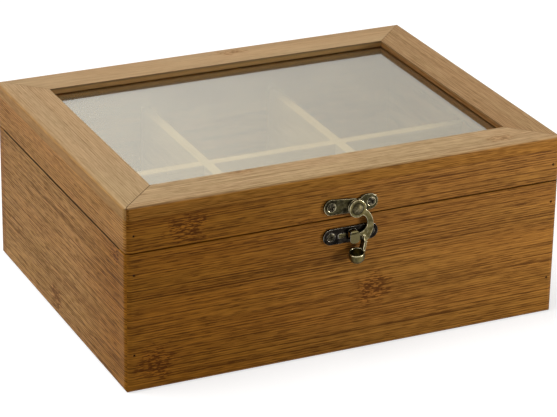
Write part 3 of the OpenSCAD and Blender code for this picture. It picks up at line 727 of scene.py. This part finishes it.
frame_joints = {
    "top_frame_front": [
        ((-0.0465, -0.0655, box_top), 0.009, 0.003), ((0.082, -0.076, box_top), 0.009, 0.004)],
    "top_frame_back": [((0.0115, 0.0774, box_top), 0.010, 0.004)],
    "top_frame_right": [((0.0836, -0.052, box_top), 0.011, 0.003)],
}
shades = (SIDE_SHADES, UPPER_PAINTED_SHEEN, INNER_PAINTED_LIGHT)
left_shades = (LEFT_FRAME_SIDE_PAINTED_SHEEN, UPPER_PAINTED_SHEEN, INNER_PAINTED_LIGHT)
right_shades = (SIDE_SHADES, RIGHT_UPPER_PAINTED_SHEEN, RIGHT_INNER_PAINTED_SHADE)
for number, (name, along, stacked, (outer, upper, inner), contrast, fibres) in enumerate([
        ("top_frame_front", ALONG_X, ALONG_Y, shades, 0.2, 1.1),
        ("top_frame_back", ALONG_X, ALONG_Y, shades, 0.1, 0.45),
        ("top_frame_left", ALONG_Y, ALONG_X, left_shades, 0.1, 0.65),
        ("top_frame_right", ALONG_Y, ALONG_X, right_shades, 0.2, 0.9)]):
    finish_node(name, bamboo(
        "bamboo_" + name, along, stacked, frame_joints.get(name, ()), place=FRAME_PLACE + number * FRAME_STEP,
        bump=0.1, level=0.06, thin=1.0, pale=outer[0], dark=outer[1],
        painted_light_and_joints=[(frame_places, "Inner Side", *inner), (frame_places, "Upper Face", *upper),
               (frame_places, "Glue Line", *LINE_SHADES)],
        strip_width=FRAME_STRIP_W, strip_contrast=contrast, fibres=fibres))


# Window: a clear sheet in the frame's groove, still under its pale film, so that what lies below shows
# through a haze. The film is darker towards the far right and slacker, and so more blurred, towards the back.
# A strong gloss on it mirrors the far wall.
FILM_NEAR = (0.88, 0.77, 0.47, 1)
FILM_FAR = (0.68, 0.57, 0.34, 1)
FAR_CORNER = (5.6, 8.0, 0)
FILM_RANGE = (-0.9, 0.95)
CLOUD_CELLS = 26.0
CLOUD_RANGE = (0.3, 0.7)
CLOUD_ON_TONE = 0.25
CLOUD_ON_BLUR = 0.012
SLACK_FROM = 0.0
SLACK_FULL = 0.07
BLUR_RANGE = (0.03, 0.2)
PANE_CLEAR = 0.96
PANE_IOR = 1.45
GLARE_BLUR = 0.05
GLARE_IOR = 2.1
LIGHT_KEPT = 0.4
pane = bpy.data.materials.new("hazy_pane")
pane.use_nodes = True
tree = pane.node_tree
shader = tree.nodes["Principled BSDF"]
here = put(tree, "TexCoord").outputs["Object"]
cloud = put(tree, "TexNoise", {"Vector": here, "Scale": CLOUD_CELLS, "Detail": 2.0}).outputs[0]
corner = vector_maths(tree, "DOT_PRODUCT", here, FAR_CORNER)
far = plus(tree, corner, ramp(tree, cloud, *CLOUD_RANGE, -CLOUD_ON_TONE, CLOUD_ON_TONE))
film = blend_colour(tree, ramp(tree, far, *FILM_RANGE), FILM_NEAR, FILM_FAR)
tree.links.new(film, shader.inputs["Base Color"])
deeper = put(tree, "SeparateXYZ", {0: here}).outputs["Y"]
slack = plus(tree, deeper, ramp(tree, cloud, *CLOUD_RANGE, -CLOUD_ON_BLUR, CLOUD_ON_BLUR))
tree.links.new(ramp(tree, slack, SLACK_FROM, SLACK_FULL, *BLUR_RANGE), shader.inputs["Roughness"])
path = put(tree, "LightPath").outputs
lit = maths(tree, "MAXIMUM", path["Is Shadow Ray"], path["Is Diffuse Ray"])
solid = put(tree, "MapRange", {0: lit, 1: 0.0, 2: 1.0, 3: 1.0, 4: LIGHT_KEPT}).outputs[0]
tree.links.new(solid, shader.inputs["Alpha"])
shader.inputs["Transmission Weight"].default_value = PANE_CLEAR
shader.inputs["IOR"].default_value = PANE_IOR
shader.inputs["Coat Weight"].default_value = 1.0
shader.inputs["Coat Roughness"].default_value = GLARE_BLUR
shader.inputs["Coat IOR"].default_value = GLARE_IOR
finish_node("window_pane", pane)


# Latch: a plate of bronzed sheet on the lid with a raised boss, held by two cross-head screws.
# A hook cut and bent from sheet turns on a domed rivet in the boss, and the hook is darker in a ring round the
# rivet.
PLATE_RIM = 0.0003
HOOK_RIM = 0.00025
RING_INNER = 0.0026
RING_OUTER = 0.0036
rivet_low, rivet_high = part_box("latch_rivet")
pivot = (rivet_low + rivet_high) / 2
bronze = metal("antique_bronze", colour=(0.055, 0.047, 0.02, 1), patina=(0.014, 0.012, 0.006, 1), wear=0.05)
hook_bronze = metal(
    "hook_bronze", colour=(0.17, 0.14, 0.055, 1), patina=(0.07, 0.058, 0.022, 1), wear=0.12,
    ring=(pivot, RING_INNER, RING_OUTER))
rivet_bronze = metal("rivet_bronze", colour=(0.16, 0.13, 0.065, 1), patina=(0.07, 0.058, 0.027, 1), wear=0.2)
ease("latch_plate", "lid", (bronze, worn_bronze), PLATE_RIM)
finish_node("latch_screws", screw_metal)
finish_node("latch_rivet", rivet_bronze)
ease("latch_hook", "hook", (hook_bronze, worn_bronze), HOOK_RIM, clamped=False)
